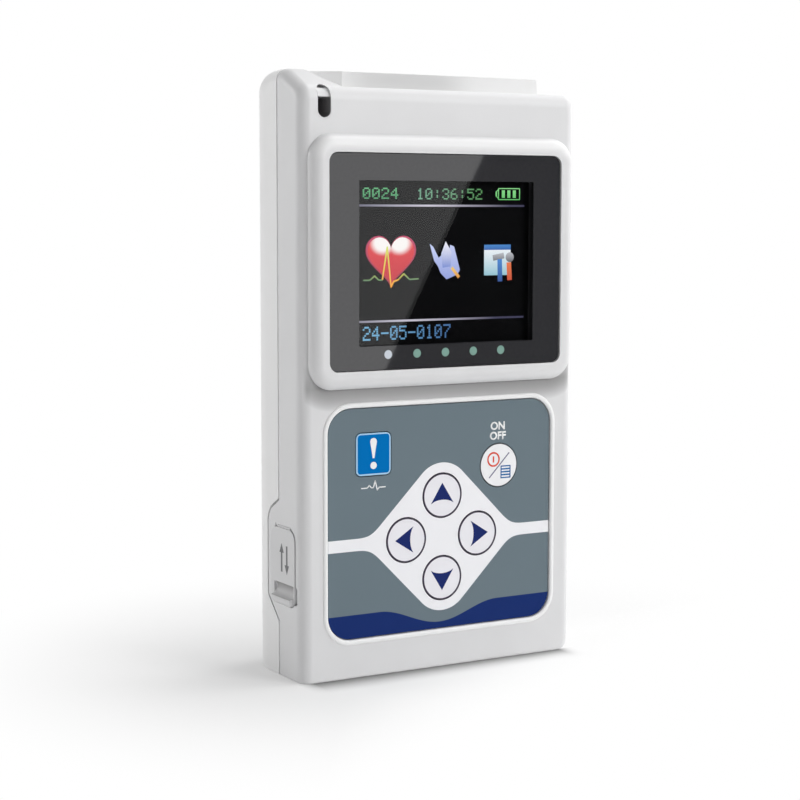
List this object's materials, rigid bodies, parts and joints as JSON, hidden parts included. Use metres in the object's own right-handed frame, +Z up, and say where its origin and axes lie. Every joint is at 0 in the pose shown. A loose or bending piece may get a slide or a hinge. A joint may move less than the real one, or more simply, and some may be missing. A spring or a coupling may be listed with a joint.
{
  "type": "holter monitor",
  "caption": "Pocket heart recorder: upright white case with screen, round and square keys, side port cover and cable recess on top.",
  "frame": {"origin": "middle of the base, on the plane it stands on", "axes": "+Z up the case, screen faces -Y, the side with the port cover is -X"},
  "size_m": [0.0559, 0.0246, 0.1031],
  "materials": {
    "shell": "fine satin, white",
    "window": "polished, tinted",
    "gasket": "matte",
    "display": "smooth, dark",
    "carrier": "matte",
    "ribbon": "satin, amber film",
    "light_pipe": "clear, pale green",
    "lamp": "glossy",
    "overlay": "fine matte film, slate grey",
    "arrow_key": "satin, pale, with dark arrow",
    "mark_key": "satin, blue with a pale rim",
    "power_key": "satin, white with red and blue symbols",
    "switch": "satin",
    "board": "solder mask, green",
    "chip": "matte, black",
    "shield": "satin",
    "clock_cell": "polished",
    "beeper": "matte",
    "port_metal": "satin",
    "socket": "matte, black",
    "socket_pin": "gold plated",
    "cell": "satin sleeve",
    "contact": "nickel plated",
    "spring": "nickel plated",
    "case_screw": "zinc plated",
    "board_screw": "zinc plated"
  },
  "bodies": {
    "case": {"front_case": "shell", "rear_case": "shell", "display_window": "window", "window_gasket": "gasket", "display_module": "display", "display_carrier": "carrier", "display_ribbon": "ribbon", "indicator_pipes": "light_pipe", "indicator_leds": "lamp", "keypad_overlay": "overlay", "key_switches": "switch", "main_board": "board", "processor_chip": "chip", "memory_chip": "chip", "amplifier_shield": "shield", "clock_cell": "clock_cell", "beeper": "beeper", "usb_socket": "port_metal", "patient_socket": "socket", "patient_socket_pins": "socket_pin", "cell_left": "cell", "cell_right": "cell", "battery_contacts": "contact", "battery_springs": "spring", "case_screws": "case_screw", "board_screws": "board_screw"},
    "key_up_body": {"key_up": "arrow_key"},
    "key_down_body": {"key_down": "arrow_key"},
    "key_left_body": {"key_left": "arrow_key"},
    "key_right_body": {"key_right": "arrow_key"},
    "mark_key_body": {"mark_key": "mark_key"},
    "power_key_body": {"power_key": "power_key"},
    "port_cover": {"usb_cover": "shell"},
    "battery_door_body": {"battery_door": "shell"}
  },
  "joints": [
    {"name": "key_up_press", "type": "slide", "parent": "case", "child": "key_up_body", "axis": [0, 1, 0], "range_m": [0, 0.00035], "stiffness_N_per_m": 3000},
    {"name": "key_down_press", "type": "slide", "parent": "case", "child": "key_down_body", "axis": [0, 1, 0], "range_m": [0, 0.00035], "stiffness_N_per_m": 3000},
    {"name": "key_left_press", "type": "slide", "parent": "case", "child": "key_left_body", "axis": [0, 1, 0], "range_m": [0, 0.00035], "stiffness_N_per_m": 3000},
    {"name": "key_right_press", "type": "slide", "parent": "case", "child": "key_right_body", "axis": [0, 1, 0], "range_m": [0, 0.00035], "stiffness_N_per_m": 3000},
    {"name": "mark_key_press", "type": "slide", "parent": "case", "child": "mark_key_body", "axis": [0, 1, 0], "range_m": [0, 0.00035], "stiffness_N_per_m": 3000},
    {"name": "power_key_press", "type": "slide", "parent": "case", "child": "power_key_body", "axis": [0, 1, 0], "range_m": [0, 0.00035], "stiffness_N_per_m": 3000},
    {"name": "port_cover_hinge", "type": "hinge", "parent": "case", "child": "port_cover", "pos_m": [-0.02725, -0.0037, 0.0259], "axis": [0, 1, 0], "range_deg": [0, 85]},
    {"name": "battery_door_hinge", "type": "hinge", "parent": "case", "child": "battery_door_body", "pos_m": [0, 0.0114, 0.0061], "axis": [-1, 0, 0], "range_deg": [0, 90]}
  ]
}
